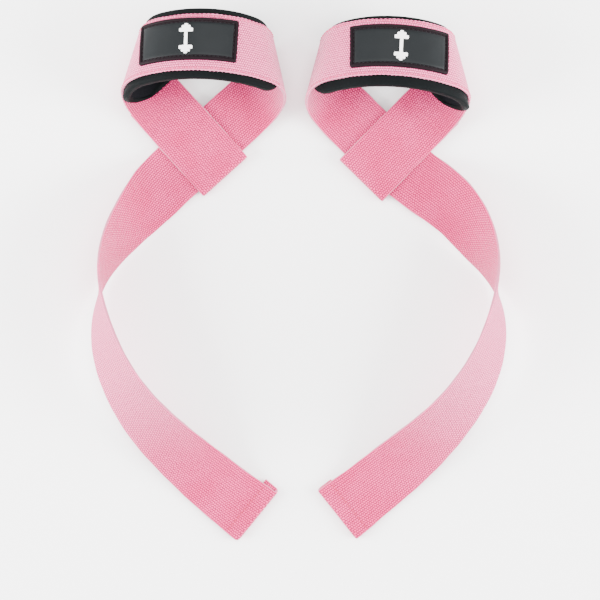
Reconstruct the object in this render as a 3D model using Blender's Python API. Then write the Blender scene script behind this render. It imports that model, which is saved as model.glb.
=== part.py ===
"""A pair of lasso lifting straps: cotton webbing, a neoprene wrist pad and a rubber badge on each.

Each strap is one flat ribbon of webbing.  Its middle makes the wrist loop, which is the ribbon laid
round a flattened cone, one end is folded back and sewn into an eye, and the other end runs through
that eye and becomes the loose tail, which makes a half turn on its way to its hem.

A place on a strap is given by (s, w, n) in millimetres: s along the webbing from the middle of the
badge side, w across it (positive towards the top edge of the cuff) and n out from its middle plane,
away from the wrist.  The right strap is the mirror image of the left one.
"""
import math

import bpy
import numpy as np

MM = 0.001

# Webbing, millimetres
WEB_WIDTH = 38.0
WEB_THICK = 2.0
GAP = 0.3                                   # kept between neighbouring pieces
HALF_WIDTH = WEB_WIDTH / 2
SKIN = WEB_THICK / 2                        # from the middle plane of the webbing to its face
LAYER = WEB_THICK + GAP                     # from one layer of webbing to the next

# The flattened cone that the wrist loop follows; its apex lies beyond the top edge of the cuff
CONE_REF = 190.0                            # distance below the apex where the section is measured
SECTION_FLAT = 26.0                         # half width of the flat underside
SECTION_BEND = 24.8                         # radius of the side bends
SECTION_CROWN = math.radians(41.0)          # half angle of the crown arc under the badge
BAND_DROP = 169.0                           # apex to the middle of the band, at the badge side
EDGE_BEND = math.radians(6.83)              # how far the webbing curves edgeways on each side
EDGE_BEND_LENGTH = 118.0
CUFF_REST = 1.8                             # middle plane of the legs above the table, at the bends
CROWN_RISE = (8.0, 50.0)                    # heights between which the cuff's own turn and sway come in

# The eye: the end of the webbing folded back under the tail and sewn to itself
EYE_REACH = 20.5                            # from the crossing to the fold
EYE_TAIL = 46.0                             # from the crossing back to the cut end, under the leg
EYE_STEP = (23.0, 33.0)                     # where the top layer comes down beside the tail
EYE_BLEND = (48.0, 72.0)                    # where the leg comes down past the cut end
LEG_BLEND = (24.0, 50.0)                    # where the tail's leg comes down past the eye
LEG_END = 17.0                              # the loop's webbing meets the tail's inside the eye

# Tail: where its middle line goes, from the crossing, and how far it leans (x, y, height, degrees).
# A lean of 90 stands the webbing on its lower edge, and 180 lays it on its other face.
TAIL_STRAIGHT = 22.5
TAIL_ROUTE = [
    (-37.0, -37.0, 11.0, 29.0),
    (-53.0, -59.0, 17.5, 56.0),
    (-62.5, -82.0, 21.0, 82.0),
    (-64.0, -104.0, 24.0, 103.0),
    (-57.0, -135.0, 26.0, 123.0),
    (-38.0, -168.0, 21.5, 139.0),
    (-9.0, -198.0, 10.5, 158.0),
    (12.0, -216.0, 4.4, 172.0),
    (34.0, -234.0, 3.5, 180.0),
]
TAIL_SLOPE = math.radians(42.6)             # the straight run's slope that the route is drawn for
TAIL_SETTLED = 125.0                        # from here on the route has all of a strap's own turn
TAIL_BOW = (45.0, 100.0)                    # where a strap's own outward bow dies away
TAIL_JOINT_LEAN = 90.0                      # the tail bends where it stands upright
JOINT_GAP = 0.8                             # between the two stretches there, whose ends are skewed
HEM = 9.0                                   # webbing folded under at the free end
HEM_SEAM = 7.5                              # from the free end to the hem's row of stitches

# Wrist pad, under the cuff
PAD_START = -97.5
PAD_END = 59.5
PAD_TOP = HALF_WIDTH + 4.5
PAD_BOTTOM = -HALF_WIDTH - 4.3
PAD_CORNER = 8.0
PAD_EYE_CORNER = 32.0                       # the lower corner on the eye's side, inside the bend
PAD_FAR_CORNER = 17.0                       # the lower corner on the other side
PAD_GAP = 0.5
FOAM_THICK = 3.6
LINING_THICK = 0.7
PAD_SEAM_W = HALF_WIDTH - 1.4               # rows of stitches, just inside the webbing's edges
THREAD_WIDTH = 0.8
THREAD_HEIGHT = 0.4

# Rubber badge, on the front of the cuff, set towards the eye's side
BADGE_LEFT = -45.2
BADGE_RIGHT = 19.0
BADGE_TOP = 14.2
BADGE_BOTTOM = -13.9
BADGE_RIM = 2.4
BADGE_BACK = SKIN + GAP
BADGE_FIELD = BADGE_BACK + 1.0
BADGE_FRAME = BADGE_BACK + 1.7
RIM_SLOPE = 0.3
# Half of the dumbbell emblem: distance from its middle, and half its width there
EMBLEM_STEPS = [(-10.0, 1.0), (-8.8, 1.0), (-8.7, 2.6), (-7.0, 2.6), (-6.9, 4.1), (-4.6, 4.1), (-4.5, 1.0)]

# How each strap lies: which way round, the crossing of its legs (x, y), the lean of the whole cuff
# towards the other strap, the turn and the sway of the cuff's front, how far the tail swerves edgeways
# in the eye, the turn and the scale (x, y) of the tail's route, by how many degrees its twist lags at
# first, how far it bows outward there, how far round the cuff the badge and the pad are moved, and how
# far up each of them is
STRAPS = {
    "left": {
        "mirror": 1.0, "crossing": (-62.5, 80.5), "lean": math.radians(2.7),
        "front_turn": 0.0, "front_sway": 1.4, "tail_swerve": 0.0,
        "tail_turn": 0.0, "tail_scale": (1.0, 1.0), "badge_shift": 0.0, "pad_shift": 0.0,
        "badge_rise": 1.4, "pad_rise": 0.0, "twist_lag": 0.0, "tail_bow": 0.0,
    },
    "right": {
        "mirror": -1.0, "crossing": (56.1, 77.3), "lean": math.radians(0.3),
        "front_turn": math.radians(2.9), "front_sway": -4.0, "tail_swerve": math.radians(6.5),
        "tail_turn": math.radians(-1.5), "tail_scale": (1.055, 0.975), "badge_shift": 8.2, "pad_shift": 3.0,
        "badge_rise": 0.3, "pad_rise": -1.8, "twist_lag": 10.0, "tail_bow": 2.6,
    },
}

# Mesh steps
STEP = 6.0
TAIL_STEP = 9.0
FOLD_STEPS = 8
ACROSS = [-19.0, -9.5, 0.0, 9.5, 19.0]
TAIL_ACROSS = [-19.0, 0.0, 19.0]

COLOURS = {
    "webbing": ((0.78, 0.36, 0.46), 0.9),
    "neoprene": ((0.018, 0.020, 0.020), 0.85),
    "lining": ((0.030, 0.032, 0.033), 0.95),
    "rubber": ((0.055, 0.060, 0.065), 0.55),
    "emblem": ((0.85, 0.85, 0.85), 0.5),
    "pink_thread": ((0.74, 0.33, 0.43), 0.8),
    "black_thread": ((0.02, 0.02, 0.02), 0.8),
}


# ---------------------------------------------------------------- the wrist loop's cone

def section_directions():
    """Unit vectors from the apex round half the cone, from the badge side to the crossing."""
    bend = np.linspace(0, math.pi - SECTION_CROWN, 160)
    crown = np.linspace(SECTION_CROWN, 0, 80)
    reach = SECTION_FLAT + SECTION_BEND * math.sin(SECTION_CROWN)
    radius = reach / math.sin(SECTION_CROWN)
    shoulder = SECTION_BEND * (1 + math.cos(SECTION_CROWN))
    x = np.concatenate([
        np.linspace(0, SECTION_FLAT, 40),
        SECTION_FLAT + SECTION_BEND * np.sin(bend),
        radius * np.sin(crown),
    ])
    z = np.concatenate([
        np.zeros(40),
        SECTION_BEND * (1 - np.cos(bend)),
        shoulder + radius * (np.cos(crown) - math.cos(SECTION_CROWN)),
    ])
    rays = np.stack([x, np.full_like(x, -CONE_REF), z], axis=1)[::-1]
    rays /= np.linalg.norm(rays, axis=1)[:, None]
    turn = np.arccos(np.clip((rays[1:] * rays[:-1]).sum(axis=1), -1, 1))
    angle = np.concatenate([[0.0], np.cumsum(turn)])
    keep = np.concatenate([[True], turn > 1e-9])
    return rays[keep], angle[keep]


RAYS, RAY_ANGLE = section_directions()
HALF_CONE = RAY_ANGLE[-1]
LEG_ANGLE = HALF_CONE + EDGE_BEND           # the legs' slope at the crossing, below the x axis


def unrolled(s, w):
    """The strip laid out flat, with the apex at the origin and the cuff's middle below it."""
    curve = EDGE_BEND / EDGE_BEND_LENGTH
    curved = np.minimum(s, EDGE_BEND_LENGTH)
    straight = s - curved
    turn = curve * curved
    x = np.sin(turn) / curve + straight * np.cos(turn) + w * np.sin(turn)
    y = (np.cos(turn) - 1) / curve - straight * np.sin(turn) + w * np.cos(turn) - BAND_DROP
    return x, y


def crossing_distance():
    """How far along the strip the two legs meet, and how far that is from the apex."""
    x, y = unrolled(np.array(EDGE_BEND_LENGTH), np.array(0.0))
    more = (-y * math.sin(HALF_CONE) - x * math.cos(HALF_CONE)) / math.cos(LEG_ANGLE)
    x, y = unrolled(np.array(EDGE_BEND_LENGTH + more), np.array(0.0))
    return EDGE_BEND_LENGTH + float(more), float(np.hypot(x, y))


CROSSING, APEX = crossing_distance()
BAND_MIDDLE = APEX - 0.95 * BAND_DROP       # y of the band's middle, from the crossing


def smooth(value, start, end):
    """0 before start, 1 after end, and level at both."""
    t = np.clip((value - start) / (end - start), 0, 1)
    return t * t * (3 - 2 * t)


def turned(x, y, angle):
    """x and y turned about the origin."""
    return x * np.cos(angle) - y * np.sin(angle), x * np.sin(angle) + y * np.cos(angle)


def leg_height(s):
    """Height of the legs' middle plane: they pass over or under each other at the crossing."""
    past = CROSSING - np.abs(s)
    over_eye = SKIN + LAYER - CUFF_REST
    tail_leg = over_eye * (1 - smooth(past, *LEG_BLEND))
    eye_leg = over_eye * (1 - smooth(past, *EYE_BLEND)) + LAYER * (1 - smooth(past, *EYE_STEP))
    return CUFF_REST + np.where(s > 0, tail_leg, eye_leg)


def cuff_surface(s, w):
    """Middle plane of the wrist loop, from the crossing at the origin, before the cuff's lean."""
    x, y = unrolled(np.abs(s), w)
    angle = np.arctan2(x, -y)
    inside = np.minimum(angle, HALF_CONE)
    ray = np.stack([np.interp(inside, RAY_ANGLE, RAYS[:, axis]) for axis in range(3)], axis=-1)
    ray /= np.linalg.norm(ray, axis=-1)[..., None]
    extra = np.maximum(angle - HALF_CONE, 0)
    flat = np.stack([-np.sin(extra), -np.cos(extra), 0 * extra], axis=-1)
    ray = np.where((angle > HALF_CONE)[..., None], flat, ray)
    point = ray * np.hypot(x, y)[..., None]
    point[..., 0] *= np.where(s < 0, -1.0, 1.0)
    point[..., 1] += APEX
    point[..., 2] += leg_height(s)
    return point


def eye_surface(s, w):
    """The webbing past the cuff at the eye's end: flat, round the fold and back underneath."""
    along = np.array([math.cos(LEG_ANGLE), -math.sin(LEG_ANGLE), 0.0])
    across = np.array([math.sin(LEG_ANGLE), math.cos(LEG_ANGLE), 0.0])
    past = -s - CROSSING - EYE_REACH
    turn = np.clip(past / LAYER, 0, math.pi)
    back = np.maximum(past - math.pi * LAYER, 0)
    reach = EYE_REACH + np.minimum(past, 0) + LAYER * np.sin(turn) - back
    height = SKIN + LAYER + LAYER * np.cos(turn)
    point = reach[..., None] * along + w[..., None] * across
    point[..., 2] += height
    return point


def loop_surface(s, w):
    """Middle plane of the loop's webbing, with the eye."""
    in_eye = -s > CROSSING + EYE_REACH - 8.0
    return np.where(in_eye[..., None], eye_surface(s, w), cuff_surface(s, w))


# ---------------------------------------------------------------- the tail

def clamped_spline(knots, values, start_slope):
    """A smooth curve through the values: given slope at its start, free at its end."""
    count = len(knots)
    step = np.diff(knots)
    rise = np.diff(values, axis=0) / step[:, None]
    matrix = np.zeros((count, count))
    right = np.zeros_like(values)
    matrix[0, 0] = 1.0
    right[0] = start_slope
    for i in range(1, count - 1):
        matrix[i, i - 1] = step[i]
        matrix[i, i] = 2 * (step[i - 1] + step[i])
        matrix[i, i + 1] = step[i - 1]
        right[i] = 3 * (step[i] * rise[i - 1] + step[i - 1] * rise[i])
    matrix[-1, -2:] = (1.0, 2.0)
    right[-1] = 3 * rise[-1]
    slope = np.linalg.solve(matrix, right)

    def curve(t):
        i = np.clip(np.searchsorted(knots, t, side="right") - 1, 0, count - 2)
        h = step[i][:, None]
        u = ((t - knots[i]) / step[i])[:, None]
        return ((2 * u**3 - 3 * u**2 + 1) * values[i] + (u**3 - 2 * u**2 + u) * h * slope[i]
                + (3 * u**2 - 2 * u**3) * values[i + 1] + (u**3 - u**2) * h * slope[i + 1])
    return curve


class Tail:
    """The tail's middle line and lean, by distance from the crossing."""

    def __init__(self, slope, lie):
        swerve, turn, scale = lie["tail_swerve"], lie["tail_turn"], lie["tail_scale"]
        eye, distance = self.eye_rows(slope, swerve)
        slope -= swerve
        rows = [eye[-1]]
        for x, y, height, lean in TAIL_ROUTE:
            share = float(smooth(math.hypot(x, y), TAIL_STRAIGHT, TAIL_SETTLED))
            angle = (1 - share) * (slope - TAIL_SLOPE) + share * turn
            x *= 1 + (scale[0] - 1) * share
            y *= 1 + (scale[1] - 1) * share
            lean -= lie["twist_lag"] * max(0.0, math.sin(math.radians(2 * lean)))
            bow = lie["tail_bow"] * (1 - float(smooth(math.hypot(x, y), *TAIL_BOW)))
            x, y = turned(x, y, angle)
            rows.append((x - bow * math.sin(slope), y + bow * math.cos(slope), height, lean))
        rows = np.array(rows)
        knots = np.concatenate([[0.0], np.cumsum(np.linalg.norm(np.diff(rows[:, :3], axis=0), axis=1))])
        curve = clamped_spline(knots, rows, np.array([-math.cos(slope), -math.sin(slope), 0.0, 0.0]))
        free = curve(np.linspace(0, knots[-1], 1600))
        travel = np.linalg.norm(np.diff(free[:, :3], axis=0), axis=1)
        self.rows = np.concatenate([eye, free[1:]])
        self.distance = np.concatenate([distance, TAIL_STRAIGHT + np.cumsum(travel)])
        self.length = float(self.distance[-1])
        self.joint = float(np.interp(TAIL_JOINT_LEAN, self.rows[:, 3], self.distance))

    def eye_rows(self, slope, swerve):
        """The tail lying flat inside the eye, in line with its leg at first, and its distances."""
        distance = np.linspace(-LEG_END - 1, TAIL_STRAIGHT, 160)
        angle = slope - swerve * np.clip((distance + LEG_END) / (TAIL_STRAIGHT + LEG_END), 0, 1)
        middle = (angle[1:] + angle[:-1]) / 2
        travel = np.stack([-np.cos(middle), -np.sin(middle)], axis=1) * np.diff(distance)[:, None]
        start = (LEG_END + 1) * np.array([math.cos(slope), math.sin(slope)])
        place = np.concatenate([[start], start + np.cumsum(travel, axis=0)])
        flat = np.tile((SKIN + LAYER, 0.0), (len(distance), 1))
        return np.concatenate([place, flat], axis=1), distance

    def line(self, t):
        """Middle line and lean at distance t."""
        return np.stack([np.interp(t, self.distance, self.rows[:, k]) for k in range(4)], axis=-1)

    def surface(self, t, w):
        """Middle plane of the tail, with its hem turned under."""
        main = np.minimum(t, self.length)
        row = self.line(main)
        step = 0.5
        ahead = self.line(np.minimum(main + step, self.length))
        behind = self.line(np.minimum(main + step, self.length) - 2 * step)
        along = ahead[..., :3] - behind[..., :3]
        along /= np.linalg.norm(along, axis=-1)[..., None]
        level = np.stack([along[..., 1], -along[..., 0], 0 * along[..., 0]], axis=-1)
        level /= np.linalg.norm(level, axis=-1)[..., None]
        upright = np.cross(level, along)
        lean = np.radians(row[..., 3])[..., None]
        across = level * np.cos(lean) + upright * np.sin(lean)
        out = np.cross(along, across)
        past = np.maximum(t - self.length, 0)
        radius = LAYER / 2
        turn = np.clip(past / radius, 0, math.pi)
        back = np.maximum(past - math.pi * radius, 0)
        forward = radius * np.sin(turn) - back
        under = radius * (1 - np.cos(turn))
        return (row[..., :3] + w[..., None] * across + forward[..., None] * along
                - under[..., None] * out)


class Strap:
    """One strap where it lies: its loop's surface, its tail and its place on the table."""

    def __init__(self, lie):
        self.mirror = lie["mirror"]
        self.crossing = lie["crossing"]
        self.lean = lie["lean"]
        self.front_turn = lie["front_turn"]
        self.front_sway = lie["front_sway"]
        self.tail = Tail(LEG_ANGLE - self.lean, lie)
        self.badge_left = BADGE_LEFT + lie["badge_shift"]
        self.badge_right = BADGE_RIGHT + lie["badge_shift"]
        self.badge_bottom = BADGE_BOTTOM + lie["badge_rise"]
        self.badge_top = BADGE_TOP + lie["badge_rise"]
        self.pad_start = PAD_START + lie["pad_shift"]
        self.pad_end = PAD_END + lie["pad_shift"]
        self.pad_bottom = PAD_BOTTOM + lie["pad_rise"]
        self.pad_top = PAD_TOP + lie["pad_rise"]

    def loop(self, s, w):
        """Middle plane of the loop's webbing, turned about the band's middle, then about the crossing."""
        points = loop_surface(s, w)
        share = smooth(points[..., 2], *CROWN_RISE)
        x, y = turned(points[..., 0], points[..., 1] - BAND_MIDDLE, self.front_turn * share)
        x, y = turned(x + self.front_sway * share, y + BAND_MIDDLE, -self.lean)
        return np.stack([x, y, points[..., 2]], axis=-1)

    def place(self, points):
        """From the strap's own millimetres to the object's metres."""
        x = points[..., 0] * self.mirror + self.crossing[0]
        y = points[..., 1] + self.crossing[1]
        return np.stack([x, y, points[..., 2]], axis=-1) * MM


# ---------------------------------------------------------------- solids

def offset(surface, s, w, n):
    """Points at n out from the surface."""
    h = 0.05
    along = surface(s + h, w) - surface(s - h, w)
    across = surface(s, w + h) - surface(s, w - h)
    out = np.cross(along, across)
    out /= np.linalg.norm(out, axis=-1)[..., None]
    return surface(s, w) + out * n[..., None]


def finish_object(name, verts, faces, material, parent):
    """A mesh object with its origin at its parent's, which is on its joint's axis."""
    mesh = bpy.data.meshes.new(name)
    origin = np.array(parent.location)
    mesh.from_pydata([tuple(v - origin) for v in verts], [], faces)
    mesh.validate()
    mesh.shade_smooth()
    mesh.set_sharp_from_angle(angle=math.radians(35))
    mesh.materials.append(material)
    obj = bpy.data.objects.new(name, mesh)
    bpy.context.scene.collection.objects.link(obj)
    obj.parent = parent
    return obj


def slab(surface, s_lines, w_lines, low, high, strap):
    """A closed sheet between two heights over a grid of (s, w); w_lines may change along s."""
    s_lines = np.asarray(s_lines, float)
    w_grid = np.broadcast_to(np.asarray(w_lines, float), (len(s_lines), np.shape(w_lines)[-1]))
    s_grid = np.repeat(s_lines[:, None], w_grid.shape[1], axis=1)
    low = np.broadcast_to(np.asarray(low, float), w_grid.shape)
    high = np.broadcast_to(np.asarray(high, float), w_grid.shape)
    rows, cols = w_grid.shape
    points = [strap.place(offset(surface, s_grid, w_grid, n)).reshape(-1, 3) for n in (low, high)]
    count = rows * cols

    def index(i, j, top):
        return i * cols + j + (count if top else 0)

    faces = []
    for i in range(rows - 1):
        for j in range(cols - 1):
            faces.append([index(i, j, 1), index(i + 1, j, 1), index(i + 1, j + 1, 1), index(i, j + 1, 1)])
            faces.append([index(i, j, 0), index(i, j + 1, 0), index(i + 1, j + 1, 0), index(i + 1, j, 0)])
    for i in range(rows - 1):
        for j, flip in ((0, False), (cols - 1, True)):
            side = [index(i, j, 0), index(i + 1, j, 0), index(i + 1, j, 1), index(i, j, 1)]
            faces.append(side[::-1] if flip else side)
    for j in range(cols - 1):
        for i, flip in ((0, True), (rows - 1, False)):
            side = [index(i, j, 0), index(i, j + 1, 0), index(i, j + 1, 1), index(i, j, 1)]
            faces.append(side[::-1] if flip else side)
    if strap.mirror < 0:
        faces = [face[::-1] for face in faces]
    return np.concatenate(points), faces


def ring(surface, corners, low, high, strap):
    """A closed flat band of thread along a loop of (s, w) corners."""
    s = np.array([c[0] for c in corners])
    w = np.array([c[1] for c in corners])
    middle_s, middle_w = (s.min() + s.max()) / 2, (w.min() + w.max()) / 2
    verts = []
    for grow, n in ((-1, low), (1, low), (1, high), (-1, high)):
        ss = s + grow * np.sign(s - middle_s) * (np.abs(s - middle_s) > (s.max() - s.min()) / 2 - 0.01) \
            * THREAD_WIDTH / 2
        ww = w + grow * np.sign(w - middle_w) * (np.abs(w - middle_w) > (w.max() - w.min()) / 2 - 0.01) \
            * THREAD_WIDTH / 2
        verts.append(strap.place(offset(surface, ss, ww, np.full(len(s), n))))
    count = len(corners)
    faces = []
    for k in range(4):
        for i in range(count):
            a, b = k * count + i, k * count + (i + 1) % count
            c, d = ((k + 1) % 4) * count + (i + 1) % count, ((k + 1) % 4) * count + i
            faces.append([a, b, c, d])
    if strap.mirror < 0:
        faces = [face[::-1] for face in faces]
    return np.concatenate(verts), faces


def rectangle(s_lines, w_lines):
    """Corners round a rectangle, in order, with the lines' own steps along each side."""
    bottom = [(s, w_lines[0]) for s in s_lines]
    right = [(s_lines[-1], w) for w in w_lines[1:-1]]
    top = [(s, w_lines[-1]) for s in s_lines[::-1]]
    left = [(s_lines[0], w) for w in w_lines[-2:0:-1]]
    return bottom + right + top + left


def steps(start, end, size):
    """Even steps from start to end, none longer than size."""
    return np.linspace(start, end, max(2, int(math.ceil(abs(end - start) / size - 1e-6)) + 1))


def lattice(start, end):
    """Start and end, with the shared multiples of STEP between them, so that layers nest."""
    first = math.ceil((start + 1.0) / STEP)
    last = math.floor((end - 1.0) / STEP)
    return [start] + [k * STEP for k in range(first, last + 1)] + [end]


# ---------------------------------------------------------------- sub-parts

def loop_webbing(strap):
    """Back layer of the eye, its fold, the cuff and the tail's leg up to the eye."""
    fold = CROSSING + EYE_REACH
    turn = math.pi * LAYER
    back_end = fold + turn + EYE_REACH + EYE_TAIL
    back = steps(-back_end, -fold - turn, 16.0)
    bend = steps(-fold - turn, -fold, turn / FOLD_STEPS)
    loop = lattice(-fold, CROSSING - LEG_END - GAP)
    return slab(strap.loop, [*back, *bend[1:], *loop[1:]], ACROSS, -SKIN, SKIN, strap)


def corner_inset(distance, radius):
    """How far a rounded corner draws an edge in, at a distance from the pad's end."""
    return radius - np.sqrt(np.maximum(radius**2 - np.maximum(radius - distance, 0) ** 2, 0))


def pad_width(strap, s):
    """Bottom and top edge of the pad at s, with rounded corners at its ends."""
    from_start = s - strap.pad_start
    from_end = strap.pad_end - s
    top = corner_inset(np.minimum(from_start, from_end), PAD_CORNER)
    bottom = np.maximum(corner_inset(from_start, PAD_EYE_CORNER), corner_inset(from_end, PAD_FAR_CORNER))
    return strap.pad_bottom + bottom, strap.pad_top - top


def pad_layer(strap, low, high):
    """One layer of the wrist pad."""
    start = strap.pad_start + PAD_EYE_CORNER * np.array([0.0, 0.12, 0.35, 0.65, 1.0])
    end = strap.pad_end - PAD_FAR_CORNER * np.array([1.0, 0.6, 0.25, 0.07, 0.0])
    inner = [s for s in lattice(strap.pad_start, strap.pad_end) if start[-1] + 2 < s < end[0] - 2]
    s_lines = np.array([*start, *inner, *end])
    bottom, top = pad_width(strap, s_lines)
    w_lines = np.stack([bottom] + [np.full_like(s_lines, w) for w in ACROSS] + [top], axis=1)
    for k in range(1, len(ACROSS)):
        w_lines[:, k] = np.maximum(w_lines[:, k], w_lines[:, k - 1] + 1.0)
        w_lines[:, -1 - k] = np.minimum(w_lines[:, -1 - k], w_lines[:, -k] - 1.0)
    return slab(strap.loop, s_lines, w_lines, low, high, strap)


def badge_plate(strap):
    """Moulded rubber plate with a raised rim."""
    rim = [0.0, BADGE_RIM, BADGE_RIM + RIM_SLOPE]
    inner = steps(strap.badge_left + rim[2], strap.badge_right - rim[2], STEP)[1:-1]
    s_lines = [strap.badge_left + r for r in rim] + list(inner) + [strap.badge_right - r for r in rim[::-1]]
    across = steps(strap.badge_bottom + rim[2], strap.badge_top - rim[2], 12.0)[1:-1]
    w_lines = [strap.badge_bottom + r for r in rim] + list(across) + [strap.badge_top - r for r in rim[::-1]]
    high = np.full((len(s_lines), len(w_lines)), BADGE_FIELD)
    high[:2, :] = BADGE_FRAME
    high[-2:, :] = BADGE_FRAME
    high[:, :2] = BADGE_FRAME
    high[:, -2:] = BADGE_FRAME
    return slab(strap.loop, s_lines, w_lines, BADGE_BACK, high, strap)


def badge_emblem(strap):
    """A plain dumbbell, raised on the badge: one bar with two plates at each end."""
    centre = ((strap.badge_left + strap.badge_right) / 2, (strap.badge_bottom + strap.badge_top) / 2)

    def upright(along, across):
        return strap.loop(centre[0] + across, centre[1] - along)

    outline = EMBLEM_STEPS + [(-reach, half) for reach, half in EMBLEM_STEPS[::-1]]
    along = [reach for reach, _ in outline]
    across = [(-half, half) for _, half in outline]
    low = BADGE_FIELD + GAP
    return slab(upright, along, across, low, low + THREAD_HEIGHT, strap)


def pad_seam(strap, w):
    """One row of stitches holding the pad to the webbing's edge."""
    start, end = strap.pad_start + 3.0, strap.pad_end - 3.0
    lines = lattice(start, end)
    edges = [w - THREAD_WIDTH / 2, w + THREAD_WIDTH / 2]
    low = SKIN + GAP
    return slab(strap.loop, lines, edges, low, low + THREAD_HEIGHT, strap)


def badge_seam(strap):
    """Stitches round the badge, in the angle between its rim and its field."""
    inset = BADGE_RIM + RIM_SLOPE + GAP + THREAD_WIDTH / 2
    s_lines = steps(strap.badge_left + inset, strap.badge_right - inset, STEP)
    w_lines = steps(strap.badge_bottom + inset, strap.badge_top - inset, 12.0)
    low = BADGE_FIELD + GAP
    return ring(strap.loop, rectangle(list(s_lines), list(w_lines)), low, low + THREAD_HEIGHT, strap)


def eye_stitching(strap):
    """The box of stitches that holds the eye's two layers together."""
    start, end = -CROSSING + EYE_STEP[1] + 1.5, -CROSSING + EYE_TAIL - 2.0
    side = HALF_WIDTH - 3.0
    corners = rectangle(list(steps(start, end, STEP)), list(steps(-side, side, STEP)))
    high = -SKIN - PAD_GAP
    return ring(strap.loop, corners, high - THREAD_HEIGHT, high, strap)


def tail_upper(strap):
    """The stretch of the tail that slides through the eye, up to where the tail bends."""
    tail = strap.tail
    straight = steps(-LEG_END, TAIL_STRAIGHT, 16.0)
    free = steps(TAIL_STRAIGHT, tail.joint - JOINT_GAP / 2, TAIL_STEP)
    return slab(tail.surface, [*straight, *free[1:]], TAIL_ACROSS, -SKIN, SKIN, strap)


def tail_end(strap):
    """The far stretch of the tail, with its hem folded under."""
    tail = strap.tail
    turn = math.pi * LAYER / 2
    free = steps(tail.joint + JOINT_GAP / 2, tail.length, TAIL_STEP)
    fold = steps(tail.length, tail.length + turn, turn / FOLD_STEPS)
    lines = [*free, *fold[1:], tail.length + turn + HEM]
    return slab(tail.surface, lines, TAIL_ACROSS, -SKIN, SKIN, strap)


def hem_stitching(strap):
    """The row of stitches across the hem."""
    tail = strap.tail
    middle = tail.length - HEM_SEAM
    s_lines = [middle - THREAD_WIDTH / 2, middle + THREAD_WIDTH / 2]
    w_lines = [-HALF_WIDTH + 1.5, HALF_WIDTH - 1.5]
    low = SKIN + GAP
    return slab(tail.surface, s_lines, w_lines, low, low + THREAD_HEIGHT, strap)


# ---------------------------------------------------------------- assembly

def make_material(name, colour, roughness):
    material = bpy.data.materials.new(name)
    material.use_nodes = True
    shader = material.node_tree.nodes["Principled BSDF"]
    shader.inputs["Base Color"].default_value = (*colour, 1.0)
    shader.inputs["Roughness"].default_value = roughness
    material.diffuse_color = (*colour, 1.0)
    return material


def make_empty(name, location):
    empty = bpy.data.objects.new(name, None)
    empty.location = location
    bpy.context.scene.collection.objects.link(empty)
    return empty


def joint_point(strap):
    """Where the tail bends: on the face that faces away from the other strap, at mid height."""
    face = offset(strap.tail.surface, np.array(strap.tail.joint), np.array(0.0), np.array(SKIN))
    return strap.place(face)


def build_strap(side, strap, materials):
    cuff = make_empty(f"{side}_cuff_frame", (0, 0, 0))
    slide = make_empty(f"{side}_tail_frame", strap.place(np.array([0.0, 0.0, SKIN + LAYER])))
    swing = make_empty(f"{side}_tail_end_frame", joint_point(strap))
    foam = (-SKIN - PAD_GAP - FOAM_THICK, -SKIN - PAD_GAP)
    lining = (foam[0] - GAP - LINING_THICK, foam[0] - GAP)
    pieces = [
        ("webbing_loop", loop_webbing(strap), "webbing", cuff),
        ("pad_foam", pad_layer(strap, *foam), "neoprene", cuff),
        ("pad_lining", pad_layer(strap, *lining), "lining", cuff),
        ("pad_upper_seam", pad_seam(strap, PAD_SEAM_W), "pink_thread", cuff),
        ("pad_lower_seam", pad_seam(strap, -PAD_SEAM_W), "pink_thread", cuff),
        ("badge", badge_plate(strap), "rubber", cuff),
        ("badge_seam", badge_seam(strap), "black_thread", cuff),
        ("badge_emblem", badge_emblem(strap), "emblem", cuff),
        ("eye_stitching", eye_stitching(strap), "pink_thread", cuff),
        ("webbing_tail_upper", tail_upper(strap), "webbing", slide),
        ("webbing_tail_end", tail_end(strap), "webbing", swing),
        ("hem_stitching", hem_stitching(strap), "pink_thread", swing),
    ]
    for name, (verts, faces), material, parent in pieces:
        finish_object(f"{side}_{name}", verts, faces, materials[material], parent)


def main():
    for obj in list(bpy.data.objects):
        bpy.data.objects.remove(obj, do_unlink=True)
    materials = {name: make_material(name, *value) for name, value in COLOURS.items()}
    for side, lie in STRAPS.items():
        build_strap(side, Strap(lie), materials)
    bpy.context.view_layer.update()


main()
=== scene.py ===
"""The looks of a pair of lasso lifting straps: woven webbing, stitches, neoprene pads and badges.

A place on a strap is given as in the CAD, by (s, w, n) in millimetres: s along the webbing from the
middle of the badge side, w across it, and n out from its middle plane.  The surfaces that the webbing
follows repeat the CAD's own.
"""
import math

import bpy
import numpy as np
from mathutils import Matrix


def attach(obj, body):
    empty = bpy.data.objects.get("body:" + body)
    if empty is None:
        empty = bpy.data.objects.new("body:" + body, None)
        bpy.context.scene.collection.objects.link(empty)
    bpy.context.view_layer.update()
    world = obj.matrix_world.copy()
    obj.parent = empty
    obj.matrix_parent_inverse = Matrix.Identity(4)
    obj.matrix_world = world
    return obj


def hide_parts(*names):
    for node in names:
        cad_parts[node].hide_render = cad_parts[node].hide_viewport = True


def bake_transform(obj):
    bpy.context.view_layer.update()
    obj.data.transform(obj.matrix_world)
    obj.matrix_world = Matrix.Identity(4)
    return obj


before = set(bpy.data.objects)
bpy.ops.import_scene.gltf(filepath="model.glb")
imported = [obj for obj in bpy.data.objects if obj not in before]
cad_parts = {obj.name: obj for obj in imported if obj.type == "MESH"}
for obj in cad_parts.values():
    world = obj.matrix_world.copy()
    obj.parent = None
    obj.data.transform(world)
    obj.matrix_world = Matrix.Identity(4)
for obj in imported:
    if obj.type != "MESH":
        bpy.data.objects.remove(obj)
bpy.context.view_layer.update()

MM = 0.001
UV_SCALE = 0.01                     # (s, w) is kept as UVs in decimetres

# Webbing, as in the CAD
HALF_WIDTH = 19.0
SKIN = 1.0                          # from the middle plane of the webbing to its face
LAYER = 2.3                         # from one layer of webbing to the next
GAP = 0.3                           # between neighbouring pieces

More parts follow.
